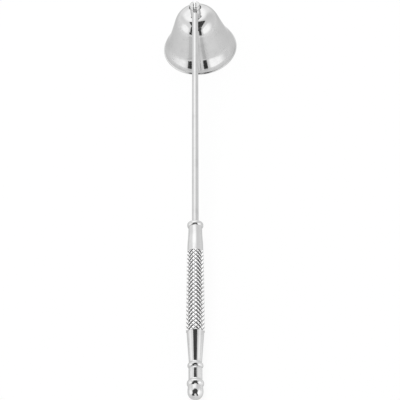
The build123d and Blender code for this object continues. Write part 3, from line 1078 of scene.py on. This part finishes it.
class SNUFFER_OT_stage(bpy.types.Operator):
    """Lay the pale floor, put up the light tent with its panels, and set the camera"""

    bl_idname = "snuffer.stage"
    bl_label = "Stage"

    def execute(self, context):
        stage = context.scene.snuffer_stage
        self.lay_floor(stage)
        self.hang_tent(context, stage)
        self.hang_cards()
        self.hang_lamp(context, stage)
        self.set_camera(context, stage)
        context.scene.view_settings.view_transform = "Standard"
        return {"FINISHED"}

    def lay_floor(self, stage):
        """Lay the floor, which metal shows with a painted shadow beside the snuffer, brighter farther out and glossy
        at a glancing angle.
        """
        material, tree = new_material("floor_paper")
        sheet = {"Base Color": (*stage.floor, 1), "Roughness": PAPER_ROUGHNESS}
        paper = add_node(tree, "ShaderNodeBsdfPrincipled", None, sheet)
        rays = add_node(tree, "ShaderNodeLightPath").outputs
        seen = maths(tree, "ADD", rays["Is Camera Ray"], rays["Is Glossy Ray"], clamp=True)
        through = maths(tree, "ADD", seen, rays["Is Transmission Ray"], clamp=True)
        share = maths(tree, "MULTIPLY", through, stage.floor_glow)
        # Painted shadow: the metal sees the floor darker near the snuffer, brightening farther out.
        ends = (stage.floor_near, stage.floor_far, stage.floor_contact_shadow, stage.floor_horizon)
        mirrored = ramp(tree, self.floor_distance(tree), *ends, True)
        mirrored = blend(tree, self.pool_mask(tree), mirrored, POOL_BRIGHTNESS)
        level = blend(tree, rays["Is Glossy Ray"], 1.0, mirrored)
        white = add_node(tree, "ShaderNodeEmission", None, {"Color": WHITE, "Strength": level})
        polished = {"Base Color": WHITE, "Metallic": 1.0, "Roughness": SHEEN_ROUGHNESS}
        gloss = add_node(tree, "ShaderNodeBsdfPrincipled", None, polished)
        grazing = add_node(tree, "ShaderNodeFresnel", None, {"IOR": SHEEN_INDEX}).outputs[0]
        sheen = maths(tree, "MULTIPLY", grazing, stage.floor_sheen)
        sheen_seen = maths(tree, "MULTIPLY", sheen, rays["Is Glossy Ray"])
        table = mix_shaders(tree, sheen_seen, white.outputs["Emission"], gloss.outputs["BSDF"])
        show(tree, mix_shaders(tree, share, paper.outputs["BSDF"], table))
        half = stage.floor_size / 2
        corners = [(-half, -half, 0), (half, -half, 0), (half, half, 0), (-half, half, 0)]
        floor = put_sheet("floor", corners, material)

    def pool_mask(self, tree):
        """A soft-edged patch of the floor on which light pools."""
        axes = split(tree, spot(tree))
        reach = [
            maths(tree, "DIVIDE", maths(tree, "SUBTRACT", axes[axis], centre), half_size)
            for axis, centre, half_size in zip("XY", POOL_MIDDLE, POOL_HALF_SIZES)
        ]
        return soft_edge(tree, *reach, POOL_SOFTNESS, POOL_POWER)

    def floor_distance(self, tree):
        """Distance of a point of the floor from the line under the rod, from the bell to the end knob."""
        axes = split(tree, spot(tree))
        behind = maths(tree, "SUBTRACT", axes["Y"], pivot.y)
        ahead = maths(tree, "SUBTRACT", knob_ball.y, axes["Y"])
        beyond = maths(tree, "MAXIMUM", maths(tree, "MAXIMUM", behind, ahead), 0.0)
        pair = add_node(tree, "ShaderNodeCombineXYZ", None, {"X": axes["X"], "Y": beyond}).outputs["Vector"]
        return vector_maths(tree, "LENGTH", pair, (0, 0, 0))

    def hang_tent(self, context, stage):
        """Hang the light tent, with panels that the metal shows, and plain white to the camera."""
        world = bpy.data.worlds.new("light_tent")
        context.scene.world = world
        world.use_nodes = True
        tree = world.node_tree
        tree.nodes.clear()
        ray = spot(tree, "Generated")
        level = ramp(tree, split(tree, ray)["X"], -1.0, 1.0, stage.tent * TENT_LEFT, stage.tent * TENT_RIGHT)
        panels = (
            (bearing(-176, 18), 33, 27, 0.3, 4, 1.2),
            (arc_bearing(124, 38), 18, 28, 0.6, 2, 0.88),
            (arc_bearing(126, -9), 22, 19, 0.45, 4, 1.5),
        )
        for *patch, brightness in panels:
            level = blend(tree, patch_mask(tree, ray, *patch), level, brightness)
        rays = add_node(tree, "ShaderNodeLightPath").outputs
        level = blend(tree, rays["Is Glossy Ray"], stage.fill, level)
        for kind in ("Is Camera Ray", "Is Transmission Ray"):
            level = blend(tree, rays[kind], level, 1.0)
        light = add_node(tree, "ShaderNodeBackground", None, {"Color": WHITE, "Strength": level})
        show(tree, light.outputs["Background"], "ShaderNodeOutputWorld")

    def hang_cards(self):
        """Stand light and dark cards round the snuffer, which only its metal shows."""
        cards = (
            ("light_right", (0.40, -0.32, 0.21), (0, 0, 90), 0.34, 0.20, 0.35, 3, 1.50),
            ("light_left", (-0.60, -0.215, 0.28), (0, 0, 90), 0.30, 0.26, 0.4, 3, 1.45),
            ("shade_above", (0.10, -0.655, 1.78), (90, 0, 0), 0.90, 1.045, 0.025, 14, 0.07),
            ("shade_near", (0, -0.13, 0.12), (90, 0, 0), 0.09, 0.04, 0.12, 8, 0.08),
            ("shade_front", (-0.015, -0.21, 0.20), (-77.5, 0, 0), 0.15, 0.092, 0.08, 6, 0.08),
            ("shade_left", (-0.285, -0.478, 0.55), (0, -8, 0), 0.154, 0.51, 0.05, 14, 0.05),
            ("shade_foot", (-0.37, -0.478, 0.105), (0, 0, 0), 0.08, 0.065, 0.1, 8, 0.05),
            ("shade_right", (0.105, -0.296, 0.138), (0, 0, 0), 0.045, 0.122, 0.12, 8, 0.05),
        )
        for name, middle, turn, half_width, half_height, softness, power, brightness in cards:
            material, tree = new_material(name)
            shrink = {"Vector": spot(tree), "Scale": (1 / half_width, 1, 1 / half_height)}
            axes = split(tree, add_node(tree, "ShaderNodeMapping", None, shrink).outputs["Vector"])
            mask = soft_edge(tree, axes["X"], axes["Z"], softness, power)
            clear = add_node(tree, "ShaderNodeBsdfTransparent").outputs["BSDF"]
            glow = add_node(tree, "ShaderNodeEmission", None, {"Color": WHITE, "Strength": brightness})
            show(tree, mix_shaders(tree, mask, clear, glow.outputs["Emission"]))
            reach, rise = half_width * (1 + softness), half_height * (1 + softness)
            corners = [(-reach, 0, -rise), (reach, 0, -rise), (reach, 0, rise), (-reach, 0, rise)]
            card = put_sheet(name, corners, material)
            card.location = middle
            card.rotation_euler = [math.radians(degrees) for degrees in turn]
            card.visible_camera = False
            card.visible_diffuse = False
            card.visible_shadow = False

    def hang_lamp(self, context, stage):
        data = bpy.data.lights.new("soft_lamp", "AREA")
        data.size = stage.lamp_size
        data.energy = stage.lamp_power
        lamp = bpy.data.objects.new("soft_lamp", data)
        context.scene.collection.objects.link(lamp)
        lamp.location = stage.lamp_place
        lamp.rotation_mode = "QUATERNION"
        lamp.rotation_quaternion = (-lamp.location).to_track_quat("-Z", "Y")
        lamp.visible_glossy = False

    def set_camera(self, context, stage):
        data = bpy.data.cameras.new("camera")
        data.sensor_width = 36
        data.lens = stage.camera_lens
        camera = bpy.data.objects.new("camera", data)
        context.scene.collection.objects.link(camera)
        camera.location = stage.camera_place
        sight = Vector(stage.camera_aim) - Vector(stage.camera_place)
        camera.rotation_mode = "QUATERNION"
        roll = Quaternion((0, 0, 1), stage.camera_roll)
        camera.rotation_quaternion = sight.to_track_quat("-Z", "Y") @ roll
        data.clip_start = 0.01
        data.clip_end = 50
        context.scene.camera = camera


class SNUFFER_PT_panel(bpy.types.Panel):
    """Builds the snuffer's pieces and its stage"""

    bl_label = "Candle Snuffer"
    bl_idname = "SNUFFER_PT_panel"
    bl_space_type = "VIEW_3D"
    bl_region_type = "UI"
    bl_category = "Snuffer"

    def draw(self, context):
        layout = self.layout
        for group in GROUPS:
            settings = getattr(context.scene, group)
            column = layout.column(align=True)
            for name in settings.__annotations__:
                column.prop(settings, name)
        for operator in OPERATORS:
            layout.operator(operator.bl_idname)


GROUPS = {
    "snuffer_bell": SNUFFER_PG_bell,
    "snuffer_handle": SNUFFER_PG_handle,
    "snuffer_finish": SNUFFER_PG_finish,
    "snuffer_stage": SNUFFER_PG_stage,
}
OPERATORS = (
    SNUFFER_OT_bell,
    SNUFFER_OT_hinge,
    SNUFFER_OT_rod,
    SNUFFER_OT_beads,
    SNUFFER_OT_grip,
    SNUFFER_OT_knob,
    SNUFFER_OT_stage,
)


def register():
    for name, group in GROUPS.items():
        bpy.utils.register_class(group)
        setattr(bpy.types.Scene, name, bpy.props.PointerProperty(type=group))
    for operator in OPERATORS:
        bpy.utils.register_class(operator)
    bpy.utils.register_class(SNUFFER_PT_panel)


def unregister():
    bpy.utils.unregister_class(SNUFFER_PT_panel)
    for operator in reversed(OPERATORS):
        bpy.utils.unregister_class(operator)
    for name, group in reversed(GROUPS.items()):
        delattr(bpy.types.Scene, name)
        bpy.utils.unregister_class(group)


def main():
    register()
    bpy.ops.snuffer.bell()
    bpy.ops.snuffer.hinge()
    bpy.ops.snuffer.rod()
    bpy.ops.snuffer.beads()
    bpy.ops.snuffer.grip()
    bpy.ops.snuffer.knob()
    bpy.ops.snuffer.stage()


if __name__ == "__main__":
    main()
